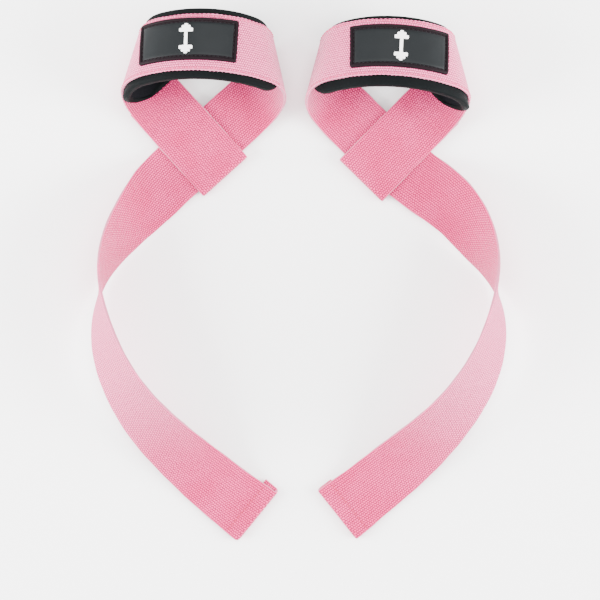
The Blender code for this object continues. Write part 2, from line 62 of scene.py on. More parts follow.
# The wrist loop's cone, the eye and the legs, as in the CAD
CONE_REF = 190.0                    # distance below the apex where the section is measured
SECTION_FLAT = 26.0                 # half width of the flat underside
SECTION_BEND = 24.8                 # radius of the side bends
SECTION_CROWN = math.radians(41.0)  # half angle of the crown arc under the badge
BAND_DROP = 169.0                   # apex to the middle of the band, at the badge side
EDGE_BEND = math.radians(6.83)      # how far the webbing curves edgeways on each side
EDGE_BEND_LENGTH = 118.0
CUFF_REST = 1.8                     # middle plane of the legs above the table, at the bends
CROWN_RISE = (8.0, 50.0)            # heights between which the cuff's own turn and sway come in
EYE_REACH = 20.5                    # from the crossing to the fold
EYE_TAIL = 46.0                     # from the crossing back to the cut end, under the leg
EYE_FLAT = 8.0                      # from the fold back to where the eye's own surface starts
EYE_STEP = (23.0, 33.0)             # where the top layer comes down beside the tail
EYE_BLEND = (48.0, 72.0)            # where the leg comes down past the cut end
LEG_BLEND = (24.0, 50.0)            # where the tail's leg comes down past the eye
LEG_END = 17.0                      # the loop's webbing meets the tail's inside the eye

# The tail, as in the CAD: where its middle line goes, from the crossing, and how far it leans (x, y,
# height, degrees).  A lean of 90 stands the webbing on its lower edge, and 180 lays it on its other face.
TAIL_STRAIGHT = 22.5
TAIL_ROUTE = [
    (-37.0, -37.0, 11.0, 29.0),
    (-53.0, -59.0, 17.5, 56.0),
    (-62.5, -82.0, 21.0, 82.0),
    (-64.0, -104.0, 24.0, 103.0),
    (-57.0, -135.0, 26.0, 123.0),
    (-38.0, -168.0, 21.5, 139.0),
    (-9.0, -198.0, 10.5, 158.0),
    (12.0, -216.0, 4.4, 172.0),
    (34.0, -234.0, 3.5, 180.0),
]
TAIL_SLOPE = math.radians(42.6)     # the straight run's slope that the route is drawn for
TAIL_SETTLED = 125.0                # from here on the route has all of a strap's own turn
TAIL_BOW = (45.0, 100.0)            # where a strap's own outward bow dies away
HEM = 9.0                           # webbing folded under at the free end
HEM_SEAM = 7.5                      # from the free end to the hem's row of stitches
HEM_SPREAD = 26.0                   # from the free end back to where the hem starts to spread

# How each strap lies, as in the CAD, and then what shows only here: how far the hem's underside lies to
# one side, how far the hem spreads past the two edges, and the phase of the edges' wandering
STRAPS = {
    "left": {
        "mirror": 1.0, "crossing": (-62.5, 80.5), "lean": math.radians(2.7),
        "front_turn": 0.0, "front_sway": 1.4, "tail_swerve": 0.0,
        "tail_turn": 0.0, "tail_scale": (1.0, 1.0), "badge_shift": 0.0, "pad_shift": 0.0,
        "badge_rise": 1.4, "pad_rise": 0.0, "twist_lag": 0.0, "tail_bow": 0.0,
        "hem_shift": 2.6, "spread": (1.6, 0.4), "phase": 0.4,
    },
    "right": {
        "mirror": -1.0, "crossing": (56.1, 77.3), "lean": math.radians(0.3),
        "front_turn": math.radians(2.9), "front_sway": -4.0, "tail_swerve": math.radians(6.5),
        "tail_turn": math.radians(-1.5), "tail_scale": (1.055, 0.975), "badge_shift": 8.2, "pad_shift": 3.0,
        "badge_rise": 0.3, "pad_rise": -1.8, "twist_lag": 10.0, "tail_bow": 2.6,
        "hem_shift": 0.8, "spread": (0.8, 0.6), "phase": 2.1,
    },
}

# Wrist pad: foam with a rolled border, and a lining let in on the wrist's side
PAD_START = -97.5
PAD_END = 59.5
PAD_TOP = 23.5
PAD_BOTTOM = -23.3
PAD_CORNER = 8.0                    # radius of the two upper corners
PAD_EYE_CORNER = 32.0               # radius of the lower corner on the eye's side
PAD_FAR_CORNER = 17.0               # radius of the lower corner on the other side
PAD_OUTER = -1.2                    # the face towards the webbing
PAD_INNER = -6.1                    # the border's face towards the wrist
PAD_MIDDLE = (PAD_OUTER + PAD_INNER) / 2
PAD_ROLL = 1.6                      # radius of the border's outer corners
PAD_BORDER = 4.4                    # width of the border round the lining
PAD_WELT = [(0.65, -0.2), (0.9, 0.1)]  # share of the border's width, and rise from its inner face
PAD_END_ROUND = 2.0                 # from each end to where the foam has its full thickness
PAD_END_LINES = [0.0, 0.2, 0.6, 1.2, 2.0, 3.2]
PAD_STEP = 1.5
LINING_RECESS = 0.8
LINING_SWELL = 0.35
LINING_POINTS = 15
LINING_DROP = (PAD_BORDER - 1.5, PAD_BORDER + 0.5)  # from each end, where the lining is let in

# Badge
BADGE_LEFT = -45.2
BADGE_RIGHT = 19.0
BADGE_TOP = 14.2
BADGE_BOTTOM = -13.9
# Height of the badge's face, by the distance from its edge
BADGE_PROFILE = [(0.0, 2.2), (0.12, 2.6), (0.45, 2.95), (0.9, 3.05), (1.6, 3.05), (1.95, 2.85), (2.2, 2.2),
                 (3.0, 2.1), (3.2, 2.4), (3.5, 2.5)]
BADGE_GROOVE = 2.6                  # from the badge's edge to its row of stitches
BADGE_FRAME = 3.1                   # width of the frame, with the groove in it
BADGE_EVEN = 5.0                    # from the edge to where the grid's lines are evenly spaced
BADGE_CORNER = 1.4
BADGE_BACK = SKIN + 0.03
BADGE_SEAM_HEIGHT = 2.15
# Half of the dumbbell: where its bar's end and its two plates start and end, and half their widths
EMBLEM_PLATES = [(-10.0, -8.8, 1.1), (-8.8, -7.0, 2.7), (-7.0, -4.6, 4.2)]
EMBLEM_BAR = 0.95                   # half the width of the bar between the plates
EMBLEM_ROUND = 0.6                  # radius of the plates' corners
EMBLEM_STEP = 0.05                  # by which a plate ends before the next one starts
EMBLEM_CHAMFER = 0.2
EMBLEM_HEIGHTS = [2.45, 2.85, 3.0]  # foot of the side, foot of the chamfer, and face

# Stitches
SEAM_W = 17.4                       # the pad's rows, from the webbing's middle
SEAM_MARGIN = 3.0                   # from the pad's ends to the first and last stitch
SEAM_SINK = 0.08                    # of the pad's rows, into the webbing
SEAM_PITCH = 2.7
BOX_PITCH = 3.2                     # of the eye's box and the hem's row
BOX_MARGINS = (1.5, 2.0, 3.0)       # from the eye's step, from the cut end and from the edges
HEM_MARGIN = 1.5                    # from the webbing's edges to the hem's row
HEM_SINK = 0.35
LOCK_LENGTH = 0.75                  # share of the pitch
LOCK_ARCH = [-0.4, 0.05, 0.16, 0.16, 0.05, -0.4]  # rise of a stitch along its length
THREAD = 0.27                       # radius
THREAD_TAPER = 0.55                 # share of the radius left at a stitch's ends
THREAD_SIDES = 6
OFF_AXIS = (0.31, 0.17, 0.93)       # a direction that no thread runs in

# Webbing: its section, and how it strays from that.  A pair says how far, and over what length.
EDGE_OUTLINE = [(17.8, 0.98), (18.4, 0.9), (18.8, 0.65), (19.0, 0.25)]
FACE_HALF = 17.0                    # half the width of the flat faces
RIPPLE = (0.10, 2.9)                # of the edges, in short waves
WANDER = (0.16, 10.7)               # of the edges, in long waves
CREASE = (0.45, 1.1)                # across the hem, at its row of stitches
FURROW = (0.28, 0.8)                # along the pad's rows of stitches
SEAM_PULL = 0.42                    # of the edges towards each stitch of those rows
SEAM_EASE = 3.0                     # length over which the pull and the furrow come in

# Weave
PICK = 1.5                          # from one crown of the weave to the next
PICK_WOBBLE = 0.9
SELVEDGE = (17.9, 18.4)             # where the crowns give way to the edge's cord
SELVEDGE_SHADE = (18.5, 18.9)        # where the painted shade along the edges comes in
KNIT = 0.7                          # of the neoprene's skin, from one rib to the next

# Room, in metres
FLOOR_HALF = 3.0
FLOOR_DROP = 0.0003                 # of the floor under the straps
WORLD_LIGHT = 2.0
TOP_LIGHT = 42.0
TOP_PLACE = (0.0, 0.5, 1.6)
TOP_SIZE = 1.2
SIDE_LIGHT = 96.0
SIDE_PLACE = (1.4, -0.15, 0.55)
SIDE_SIZE = 0.9
CAMERA_HEIGHT = 6.0
CAMERA_MIDDLE = (0.0008, -0.0157)   # of the floor in the picture
VIEW_WIDTH = 0.3828                 # of the floor, across the picture
SENSOR_WIDTH = 36.0                 # millimetres

# Colours; a pair is what a material's fine pattern runs between
NEOPRENE = ((0.0010, 0.0016, 0.0018), (0.0024, 0.0034, 0.0037))
LINING = ((0.0016, 0.0018, 0.0026), (0.0056, 0.0058, 0.0072))
FIELD_RUBBER = ((0.0030, 0.0040, 0.0046), (0.0048, 0.0060, 0.0068))
RIM_RUBBER = ((0.0050, 0.0026, 0.0036), (0.0075, 0.0040, 0.0056))
EMBLEM_WHITE = ((0.80, 0.80, 0.80), (0.90, 0.90, 0.89))
PINK_THREAD = ((0.52, 0.026, 0.115), (0.74, 0.056, 0.195))
CRIMSON_THREAD = ((0.34, 0.014, 0.055), (0.52, 0.035, 0.100))
BLACK_THREAD = ((0.0030, 0.0030, 0.0035), (0.010, 0.009, 0.010))
FLOOR = (0.99, 0.99, 0.99)
# Painted shade: the dark pink painted into the weave's gaps between the crowns
WEAVE_GAP_SHADE = (0.14, 0.004, 0.028)
WEAVE_PINK = (0.75, 0.042, 0.178)
WEAVE_LIGHT = (0.82, 0.066, 0.222)
# Painted shade: a darker grey pink on the webbing's edges, standing for the thin shadow line along them
WEAVE_EDGE_SHADE = (0.46, 0.135, 0.215)
# Painted light: the paler, whiter pink painted where the webbing is lit more
WEAVE_PAINTED_LIGHT = (0.95, 0.175, 0.370)
# Painted light: the webbing is painted paler where more light falls on it, on the cuff's front and on the
# tail past its twist.  The four places are where the painted light starts, is full, starts to go and is gone.
LOOP_PAINTED_LIGHT = (-100.0, -55.0, 55.0, 100.0)
TAIL_PAINTED_LIGHT = (110.0, 124.0, 172.0, 265.0)


# ---------------------------------------- surfaces, as in the CAD

def section_directions():
    """Unit vectors from the apex round half the cone, from the badge side to the crossing."""
    bend = np.linspace(0, math.pi - SECTION_CROWN, 160)
    crown = np.linspace(SECTION_CROWN, 0, 80)
    reach = SECTION_FLAT + SECTION_BEND * math.sin(SECTION_CROWN)
    radius = reach / math.sin(SECTION_CROWN)
    shoulder = SECTION_BEND * (1 + math.cos(SECTION_CROWN))
    x = np.concatenate([
        np.linspace(0, SECTION_FLAT, 40),
        SECTION_FLAT + SECTION_BEND * np.sin(bend),
        radius * np.sin(crown),
    ])
    z = np.concatenate([
        np.zeros(40),
        SECTION_BEND * (1 - np.cos(bend)),
        shoulder + radius * (np.cos(crown) - math.cos(SECTION_CROWN)),
    ])
    rays = np.stack([x, np.full_like(x, -CONE_REF), z], axis=1)[::-1]
    rays /= np.linalg.norm(rays, axis=1)[:, None]
    turn = np.arccos(np.clip((rays[1:] * rays[:-1]).sum(axis=1), -1, 1))
    angle = np.concatenate([[0.0], np.cumsum(turn)])
    keep = np.concatenate([[True], turn > 1e-9])
    return rays[keep], angle[keep]


RAYS, RAY_ANGLE = section_directions()
HALF_CONE = RAY_ANGLE[-1]
LEG_ANGLE = HALF_CONE + EDGE_BEND   # the legs' slope at the crossing, below the x axis


def unrolled(s, w):
    """The strip laid out flat, with the apex at the origin and the cuff's middle below it."""
    curve = EDGE_BEND / EDGE_BEND_LENGTH
    curved = np.minimum(s, EDGE_BEND_LENGTH)
    straight = s - curved
    turn = curve * curved
    x = np.sin(turn) / curve + straight * np.cos(turn) + w * np.sin(turn)
    y = (np.cos(turn) - 1) / curve - straight * np.sin(turn) + w * np.cos(turn) - BAND_DROP
    return x, y


def crossing_distance():
    """How far along the strip the two legs meet, and how far that is from the apex."""
    x, y = unrolled(np.array(EDGE_BEND_LENGTH), np.array(0.0))
    more = (-y * math.sin(HALF_CONE) - x * math.cos(HALF_CONE)) / math.cos(LEG_ANGLE)
    x, y = unrolled(np.array(EDGE_BEND_LENGTH + more), np.array(0.0))
    return EDGE_BEND_LENGTH + float(more), float(np.hypot(x, y))


CROSSING, APEX = crossing_distance()
BAND_MIDDLE = APEX - 0.95 * BAND_DROP  # y of the band's middle, from the crossing


def smooth(value, start, end):
    """0 before start, 1 after end, and level at both."""
    t = np.clip((value - start) / (end - start), 0, 1)
    return t * t * (3 - 2 * t)


def turned(x, y, angle):
    """x and y turned about the origin."""
    return x * np.cos(angle) - y * np.sin(angle), x * np.sin(angle) + y * np.cos(angle)


def leg_height(s):
    """Height of the legs' middle plane: they pass over or under each other at the crossing."""
    past = CROSSING - np.abs(s)
    over_eye = SKIN + LAYER - CUFF_REST
    tail_leg = over_eye * (1 - smooth(past, *LEG_BLEND))
    eye_leg = over_eye * (1 - smooth(past, *EYE_BLEND)) + LAYER * (1 - smooth(past, *EYE_STEP))
    return CUFF_REST + np.where(s > 0, tail_leg, eye_leg)


def cuff_surface(s, w):
    """Middle plane of the wrist loop, from the crossing at the origin, before the cuff's lean."""
    x, y = unrolled(np.abs(s), w)
    angle = np.arctan2(x, -y)
    inside = np.minimum(angle, HALF_CONE)
    ray = np.stack([np.interp(inside, RAY_ANGLE, RAYS[:, axis]) for axis in range(3)], axis=-1)
    ray /= np.linalg.norm(ray, axis=-1)[..., None]
    extra = np.maximum(angle - HALF_CONE, 0)
    flat = np.stack([-np.sin(extra), -np.cos(extra), 0 * extra], axis=-1)
    ray = np.where((angle > HALF_CONE)[..., None], flat, ray)
    point = ray * np.hypot(x, y)[..., None]
    point[..., 0] *= np.where(s < 0, -1.0, 1.0)
    point[..., 1] += APEX
    point[..., 2] += leg_height(s)
    return point


def eye_surface(s, w):
    """The webbing past the cuff at the eye's end: flat, round the fold and back underneath."""
    along = np.array([math.cos(LEG_ANGLE), -math.sin(LEG_ANGLE), 0.0])
    across = np.array([math.sin(LEG_ANGLE), math.cos(LEG_ANGLE), 0.0])
    past = -s - CROSSING - EYE_REACH
    turn = np.clip(past / LAYER, 0, math.pi)
    back = np.maximum(past - math.pi * LAYER, 0)
    reach = EYE_REACH + np.minimum(past, 0) + LAYER * np.sin(turn) - back
    height = SKIN + LAYER + LAYER * np.cos(turn)
    point = reach[..., None] * along + w[..., None] * across
    point[..., 2] += height
    return point


def loop_surface(s, w):
    """Middle plane of the loop's webbing, with the eye."""
    in_eye = -s > CROSSING + EYE_REACH - EYE_FLAT
    return np.where(in_eye[..., None], eye_surface(s, w), cuff_surface(s, w))


def clamped_spline(knots, values, start_slope):
    """A smooth curve through the values: given slope at its start, free at its end."""
    count = len(knots)
    step = np.diff(knots)
    rise = np.diff(values, axis=0) / step[:, None]
    matrix = np.zeros((count, count))
    right = np.zeros_like(values)
    matrix[0, 0] = 1.0
    right[0] = start_slope
    for i in range(1, count - 1):
        matrix[i, i - 1] = step[i]
        matrix[i, i] = 2 * (step[i - 1] + step[i])
        matrix[i, i + 1] = step[i - 1]
        right[i] = 3 * (step[i] * rise[i - 1] + step[i - 1] * rise[i])
    matrix[-1, -2:] = (1.0, 2.0)
    right[-1] = 3 * rise[-1]
    slope = np.linalg.solve(matrix, right)

    def curve(t):
        i = np.clip(np.searchsorted(knots, t, side="right") - 1, 0, count - 2)
        h = step[i][:, None]
        u = ((t - knots[i]) / step[i])[:, None]
        return ((2 * u**3 - 3 * u**2 + 1) * values[i] + (u**3 - 2 * u**2 + u) * h * slope[i]
                + (3 * u**2 - 2 * u**3) * values[i + 1] + (u**3 - u**2) * h * slope[i + 1])
    return curve


class Tail:
    """The tail's middle line and lean, by distance from the crossing."""

    def __init__(self, slope, lie):
        swerve, turn, scale = lie["tail_swerve"], lie["tail_turn"], lie["tail_scale"]
        self.hem_shift = lie["hem_shift"]
        self.spread = lie["spread"]
        eye, distance = self.eye_rows(slope, swerve)
        slope -= swerve
        rows = [eye[-1]]
        for x, y, height, lean in TAIL_ROUTE:
            share = float(smooth(math.hypot(x, y), TAIL_STRAIGHT, TAIL_SETTLED))
            angle = (1 - share) * (slope - TAIL_SLOPE) + share * turn
            x *= 1 + (scale[0] - 1) * share
            y *= 1 + (scale[1] - 1) * share
            lean -= lie["twist_lag"] * max(0.0, math.sin(math.radians(2 * lean)))
            bow = lie["tail_bow"] * (1 - float(smooth(math.hypot(x, y), *TAIL_BOW)))
            x, y = turned(x, y, angle)
            rows.append((x - bow * math.sin(slope), y + bow * math.cos(slope), height, lean))
        rows = np.array(rows)
        knots = np.concatenate([[0.0], np.cumsum(np.linalg.norm(np.diff(rows[:, :3], axis=0), axis=1))])
        curve = clamped_spline(knots, rows, np.array([-math.cos(slope), -math.sin(slope), 0.0, 0.0]))
        free = curve(np.linspace(0, knots[-1], 1600))
        travel = np.linalg.norm(np.diff(free[:, :3], axis=0), axis=1)
        self.rows = np.concatenate([eye, free[1:]])
        self.distance = np.concatenate([distance, TAIL_STRAIGHT + np.cumsum(travel)])
        self.length = float(self.distance[-1])

    def eye_rows(self, slope, swerve):
        """The tail lying flat inside the eye, in line with its leg at first, and its distances."""
        distance = np.linspace(-LEG_END - 1, TAIL_STRAIGHT, 160)
        angle = slope - swerve * np.clip((distance + LEG_END) / (TAIL_STRAIGHT + LEG_END), 0, 1)
        middle = (angle[1:] + angle[:-1]) / 2
        travel = np.stack([-np.cos(middle), -np.sin(middle)], axis=1) * np.diff(distance)[:, None]
        start = (LEG_END + 1) * np.array([math.cos(slope), math.sin(slope)])
        place = np.concatenate([[start], start + np.cumsum(travel, axis=0)])
        flat = np.tile((SKIN + LAYER, 0.0), (len(distance), 1))
        return np.concatenate([place, flat], axis=1), distance

    def line(self, t):
        """Middle line and lean at distance t."""
        return np.stack([np.interp(t, self.distance, self.rows[:, k]) for k in range(4)], axis=-1)

    def surface(self, t, w):
        """Middle plane of the tail, with its hem turned under and a little to one side."""
        main = np.minimum(t, self.length)
        row = self.line(main)
        step = 0.5
        ahead = self.line(np.minimum(main + step, self.length))
        behind = self.line(np.minimum(main + step, self.length) - 2 * step)
        along = ahead[..., :3] - behind[..., :3]
        along /= np.linalg.norm(along, axis=-1)[..., None]
        level = np.stack([along[..., 1], -along[..., 0], 0 * along[..., 0]], axis=-1)
        level /= np.linalg.norm(level, axis=-1)[..., None]
        upright = np.cross(level, along)
        lean = np.radians(row[..., 3])[..., None]
        across = level * np.cos(lean) + upright * np.sin(lean)
        out = np.cross(along, across)
        past = np.maximum(t - self.length, 0)
        radius = LAYER / 2
        turn = np.clip(past / radius, 0, math.pi)
        back = np.maximum(past - math.pi * radius, 0)
        forward = radius * np.sin(turn) - back
        under = radius * (1 - np.cos(turn))
        near = smooth(t, self.length - HEM_SPREAD, self.length)
        share = w / HALF_WIDTH
        side = w + near * (self.spread[0] * np.maximum(share, 0) + self.spread[1] * np.minimum(share, 0))
        side = side + self.hem_shift * smooth(past, 0, math.pi * radius)
        point = row[..., :3] + side[..., None] * across + forward[..., None] * along
        return point - under[..., None] * out


class Strap:
    """One strap where it lies: its loop's surface, its tail and its place on the table."""

    def __init__(self, side, lie):
        self.side = side
        self.mirror = lie["mirror"]
        self.crossing = lie["crossing"]
        self.lean = lie["lean"]
        self.front_turn = lie["front_turn"]
        self.front_sway = lie["front_sway"]
        self.phase = lie["phase"]
        self.tail = Tail(LEG_ANGLE - self.lean, lie)
        self.badge = (BADGE_LEFT + lie["badge_shift"], BADGE_RIGHT + lie["badge_shift"])
        self.badge_w = (BADGE_BOTTOM + lie["badge_rise"], BADGE_TOP + lie["badge_rise"])
        self.pad = (PAD_START + lie["pad_shift"], PAD_END + lie["pad_shift"])
        self.pad_w = (PAD_BOTTOM + lie["pad_rise"], PAD_TOP + lie["pad_rise"])

    def loop(self, s, w):
        """Middle plane of the loop as this strap lies, with its front's turn and sway."""
        points = loop_surface(s, w)
        share = smooth(points[..., 2], *CROWN_RISE)
        x, y = turned(points[..., 0], points[..., 1] - BAND_MIDDLE, self.front_turn * share)
        x, y = turned(x + self.front_sway * share, y + BAND_MIDDLE, -self.lean)
        return np.stack([x, y, points[..., 2]], axis=-1)

    def place(self, points):
        """From the strap's own millimetres to metres."""
        x = points[..., 0] * self.mirror + self.crossing[0]
        y = points[..., 1] + self.crossing[1]
        return np.stack([x, y, points[..., 2]], axis=-1) * MM

    def on(self, surface, s, w, n):
        """Metres at (s, w, n) of a surface."""
        s, w, n = np.broadcast_arrays(np.asarray(s, float), np.asarray(w, float), np.asarray(n, float))
        h = 0.05
        along = surface(s + h, w) - surface(s - h, w)
        across = surface(s, w + h) - surface(s, w - h)
        out = np.cross(along, across)
        out /= np.linalg.norm(out, axis=-1)[..., None]
        return self.place(surface(s, w) + out * n[..., None])


# ---------------------------------------- meshes

def make_piece(name, verts, faces, material, uvs=None, sharp=40):
    """A mesh object, sharp from that angle up; uvs holds (s, w) for each vertex."""
    mesh = bpy.data.meshes.new(name)
    mesh.from_pydata([tuple(v) for v in verts], [], [tuple(f) for f in faces])
    mesh.shade_smooth()
    mesh.set_sharp_from_angle(angle=math.radians(sharp))
    mesh.materials.append(material)
    if uvs is not None:
        layer = mesh.uv_layers.new(name="strip")
        corners = np.empty(len(mesh.loops), dtype=np.int64)
        mesh.loops.foreach_get("vertex_index", corners)
        layer.data.foreach_set("uv", (np.asarray(uvs)[corners] * UV_SCALE).ravel())
    obj = bpy.data.objects.new(name, mesh)
    bpy.context.scene.collection.objects.link(obj)
    return obj


def ring_faces(rings, points, flip):
    """Faces of a tube of closed rings, capped at its ends by strips between facing points."""
    faces = []
    for i in range(rings - 1):
        for j in range(points):
            k = (j + 1) % points
            faces.append([i * points + j, (i + 1) * points + j, (i + 1) * points + k, i * points + k])
    half = points // 2
    for j in range(half - 1):
        a, b, c, d = j, j + 1, points - 2 - j, points - 1 - j
        faces.append([a, b, c, d])
        last = (rings - 1) * points
        faces.append([last + d, last + c, last + b, last + a])
    return [face[::-1] for face in faces] if flip else faces


def even(start, end, size):
    """Evenly spaced places from start to end, no further apart than size."""
    return np.linspace(start, end, max(2, int(math.ceil(abs(end - start) / size - 1e-6)) + 1))


def webbing_section():
    """Closed outline of the webbing, (w, n): flat faces and softly rounded edges."""
    inner = np.linspace(-FACE_HALF, FACE_HALF, 19)
    top = [(-w, n) for w, n in EDGE_OUTLINE[::-1]] + [(w, SKIN) for w in inner] + EDGE_OUTLINE
    bottom = [(w, -n) for w, n in top[::-1]]
    return np.array(top + bottom)


def webbing_strip(name, strap, surface, s_lines, material, seam=None, crease=None):
    """A length of webbing; its edges wander a little, pull in along a seam, and a crease dips across it."""
    section = webbing_section()
    s = np.repeat(np.asarray(s_lines)[:, None], len(section), axis=1)
    uneven = RIPPLE[0] * np.sin(s / RIPPLE[1] + strap.phase)
    uneven = uneven + WANDER[0] * np.sin(s / WANDER[1] + 2 * strap.phase)
    outer = section[None, :, 1] > 0
    dip = 0.0
    if crease is not None:
        dip = -CREASE[0] * np.exp(-((s - crease) / CREASE[1]) ** 2) * outer
    if seam is not None:
        inside = smooth(s, seam[0], seam[0] + SEAM_EASE) * (1 - smooth(s, seam[1] - SEAM_EASE, seam[1]))
        pull = 0.5 - 0.5 * np.cos(2 * math.pi * s / SEAM_PITCH)
        uneven = uneven - SEAM_PULL * inside * pull
        near = np.exp(-((np.abs(section[None, :, 0]) - SEAM_W) / FURROW[1]) ** 2)
        dip = -FURROW[0] * inside * near * outer
    w = section[None, :, 0] + uneven * section[None, :, 0] / HALF_WIDTH
    n = section[None, :, 1] + dip
    points = strap.on(surface, s, w, n)
    uvs = np.stack([s, np.broadcast_to(w, s.shape)], axis=-1).reshape(-1, 2)
    faces = ring_faces(*s.shape, strap.mirror < 0)
    return make_piece(name, points.reshape(-1, 3), faces, material, uvs, sharp=60)


def tube(points):
    """Verts and faces of a thread through points in metres, tapered at its ends."""
    points = np.asarray(points, float)
    ahead = np.gradient(points, axis=0)
    ahead /= np.linalg.norm(ahead, axis=1)[:, None]
    side = np.cross(ahead, OFF_AXIS)
    side /= np.linalg.norm(side, axis=1)[:, None]
    up = np.cross(ahead, side)
    size = np.full(len(points), THREAD * MM)
    size[[0, -1]] *= THREAD_TAPER
    sides = THREAD_SIDES
    angle = np.arange(sides) * 2 * math.pi / sides
    ring = np.cos(angle)[:, None, None] * side + np.sin(angle)[:, None, None] * up
    verts = (points + ring * size[:, None]).transpose(1, 0, 2).reshape(-1, 3)
    faces = []
    for i in range(len(points) - 1):
        for j in range(sides):
            k = (j + 1) % sides
            faces.append([i * sides + j, i * sides + k, (i + 1) * sides + k, (i + 1) * sides + j])
    faces.append(list(range(sides))[::-1])
    last = (len(points) - 1) * sides
    faces.append([last + j for j in range(sides)])
    return verts, faces


def thread_piece(name, paths, material):
    """One object of separate stitches, each along its own path in metres."""
    verts, faces, count = [], [], 0
    for path in paths:
        v, f = tube(path)
        verts.append(v)
        faces += [[i + count for i in face] for face in f]
        count += len(v)
    return make_piece(name, np.concatenate(verts), faces, material, sharp=60)


def lock_stitches(strap, surface, corners, face, pitch):
    """Lock stitches along straight runs between (s, w) corners, on one face of the webbing."""
    paths = []
    rise = math.copysign(1.0, face) * np.array(LOCK_ARCH)
    for (s0, w0), (s1, w1) in zip(corners, corners[1:]):
        count = max(1, round(math.hypot(s1 - s0, w1 - w0) / pitch))
        for k in range(count):
            t = (k + 0.5 + np.linspace(-LOCK_LENGTH / 2, LOCK_LENGTH / 2, len(LOCK_ARCH))) / count
            paths.append(strap.on(surface, s0 + (s1 - s0) * t, w0 + (w1 - w0) * t, face + rise))
    return paths


# ---------------------------------------- materials

class Shader:
    """A Principled material with short calls for its nodes."""

    def __init__(self, name, roughness, sheen=0.0, sheen_tint=(1, 1, 1), specular=0.2):
        self.material = bpy.data.materials.new(name)
        self.material.use_nodes = True
        self.tree = self.material.node_tree
        self.surface = self.tree.nodes["Principled BSDF"]
        self.surface.inputs["Roughness"].default_value = roughness
        self.surface.inputs["Specular IOR Level"].default_value = specular
        self.surface.inputs["Sheen Weight"].default_value = sheen
        self.surface.inputs["Sheen Roughness"].default_value = 0.3
        self.surface.inputs["Sheen Tint"].default_value = (*sheen_tint, 1.0)

    def node(self, kind, **values):
        """A new node with some of its settings."""
        node = self.tree.nodes.new(kind)
        for key, value in values.items():
            setattr(node, key, value)
        return node

    def plug(self, socket, value):
        """Links a socket to another one, or gives it a constant."""
        if isinstance(value, bpy.types.NodeSocket):
            self.tree.links.new(value, socket)
        else:
            socket.default_value = value

    def math(self, operation, a, b=0.0):
        """One step of arithmetic."""
        node = self.node("ShaderNodeMath", operation=operation)
        for socket, value in zip(node.inputs, (a, b)):
            self.plug(socket, value)
        return node.outputs[0]

    def range(self, value, low, high, to_low=0.0, to_high=1.0):
        """A smooth step between two values."""
        node = self.node("ShaderNodeMapRange", interpolation_type="SMOOTHSTEP")
        for socket, source in zip(node.inputs, (value, low, high, to_low, to_high)):
            self.plug(socket, source)
        return node.outputs[0]

    def noise(self, scale, detail):
        """Noise that stays with the object."""
        node = self.node("ShaderNodeTexNoise")
        node.inputs["Scale"].default_value = scale
        node.inputs["Detail"].default_value = detail
        self.plug(node.inputs["Vector"], self.node("ShaderNodeTexCoord").outputs["Object"])
        return node.outputs["Fac"]

    def mix(self, factor, a, b):
        """A colour between two others; a node of this kind has its colours on sockets 6, 7 and 2."""
        node = self.node("ShaderNodeMix", data_type="RGBA")
        self.plug(node.inputs["Factor"], factor)
        for socket, value in ((node.inputs[6], a), (node.inputs[7], b)):
            self.plug(socket, (*value, 1.0) if isinstance(value, tuple) else value)
        return node.outputs[2]

    def strip(self):
        """The place on the strip, s and w in millimetres."""
        uv = self.node("ShaderNodeUVMap", uv_map="strip").outputs[0]
        split = self.node("ShaderNodeSeparateXYZ")
        self.plug(split.inputs[0], uv)
        s, w = [self.math("MULTIPLY", split.outputs[axis], 1 / UV_SCALE) for axis in (0, 1)]
        return s, w

    def bump(self, height, distance, strength):
        """Relief from a height of 0 to 1; the distance is in millimetres."""
        node = self.node("ShaderNodeBump")
        node.inputs["Distance"].default_value = distance * MM
        node.inputs["Strength"].default_value = strength
        self.plug(node.inputs["Height"], height)
        self.plug(self.surface.inputs["Normal"], node.outputs[0])

    def colour(self, value):
        """Gives the surface its colour, and ends the material."""
        self.plug(self.surface.inputs["Base Color"], (*value, 1.0) if isinstance(value, tuple) else value)
        return self.material


